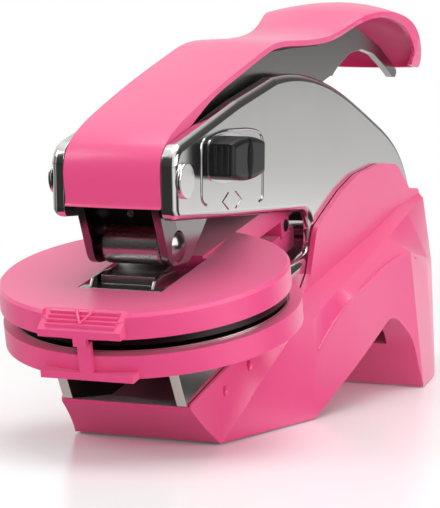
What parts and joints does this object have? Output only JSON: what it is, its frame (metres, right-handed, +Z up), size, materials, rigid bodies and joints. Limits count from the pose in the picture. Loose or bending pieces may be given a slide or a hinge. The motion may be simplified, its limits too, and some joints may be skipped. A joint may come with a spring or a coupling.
{
  "type": "seal embosser",
  "caption": "Hand seal embosser: a pink moulded base and bright steel frame hold a round die clip that a curled pressing handle closes through a roller.",
  "frame": {"origin": "centre of the bounding box at the level of the feet, on the table", "axes": "+Z up, -Y towards the jaw mouth that the paper enters, +X towards the side with the lock knob"},
  "size_m": [0.066, 0.1726, 0.097],
  "materials": {
    "pink_plastic": "smooth satin",
    "bright_plate": "bright plated",
    "lever_steel": "satin plated",
    "pin_steel": "bright turned",
    "spring_steel": "drawn wire",
    "die_metal": "machined",
    "black_plastic": "satin black",
    "foot_rubber": "matt"
  },
  "bodies": {
    "base": {"base_housing": "pink_plastic", "rubber_feet": "foot_rubber", "base_screws": "pin_steel", "frame_right_plate": "bright_plate", "frame_left_plate": "bright_plate", "frame_spacers": "pin_steel", "frame_rivets": "pin_steel", "anvil_bed": "lever_steel", "pivot_pin": "pin_steel", "lower_die_holder": "pink_plastic", "lower_die_plate": "die_metal", "clip_pin": "pin_steel", "handle_spring": "spring_steel", "clip_spring": "spring_steel"},
    "handle": {"handle_cover": "pink_plastic", "handle_lever": "lever_steel", "cover_screws": "pin_steel", "pivot_bushes": "pin_steel", "roller_pin": "pin_steel"},
    "roller": {"roller": "pin_steel"},
    "upper_die": {"upper_die_holder": "pink_plastic", "upper_die_plate": "die_metal", "saddle_plate": "lever_steel"},
    "lock": {"lock_knob": "black_plastic", "lock_bar": "pin_steel"}
  },
  "joints": [
    {"name": "handle_press", "type": "hinge", "parent": "base", "child": "handle", "pos_m": [0, -0.06641, 0.0584], "axis": [-1, 0, 0], "range_deg": [0, 9.5], "stiffness_Nm_per_rad": 0.6, "springref_deg": -20.05},
    {"name": "roller_spin", "type": "hinge", "parent": "handle", "child": "roller", "pos_m": [0, -0.05781, 0.0436], "axis": [1, 0, 0], "continuous": true},
    {"name": "die_close", "type": "hinge", "parent": "base", "child": "upper_die", "pos_m": [0, 0.00539, 0.04336], "axis": [1, 0, 0], "range_deg": [0, 0.592]},
    {"name": "lock_slide", "type": "slide", "parent": "base", "child": "lock", "axis": [0, 1, 0], "range_m": [0, 0.008]}
  ],
  "couplings": [
    {"joint": "die_close", "follows": "handle_press", "ratio": 0.061895}
  ]
}
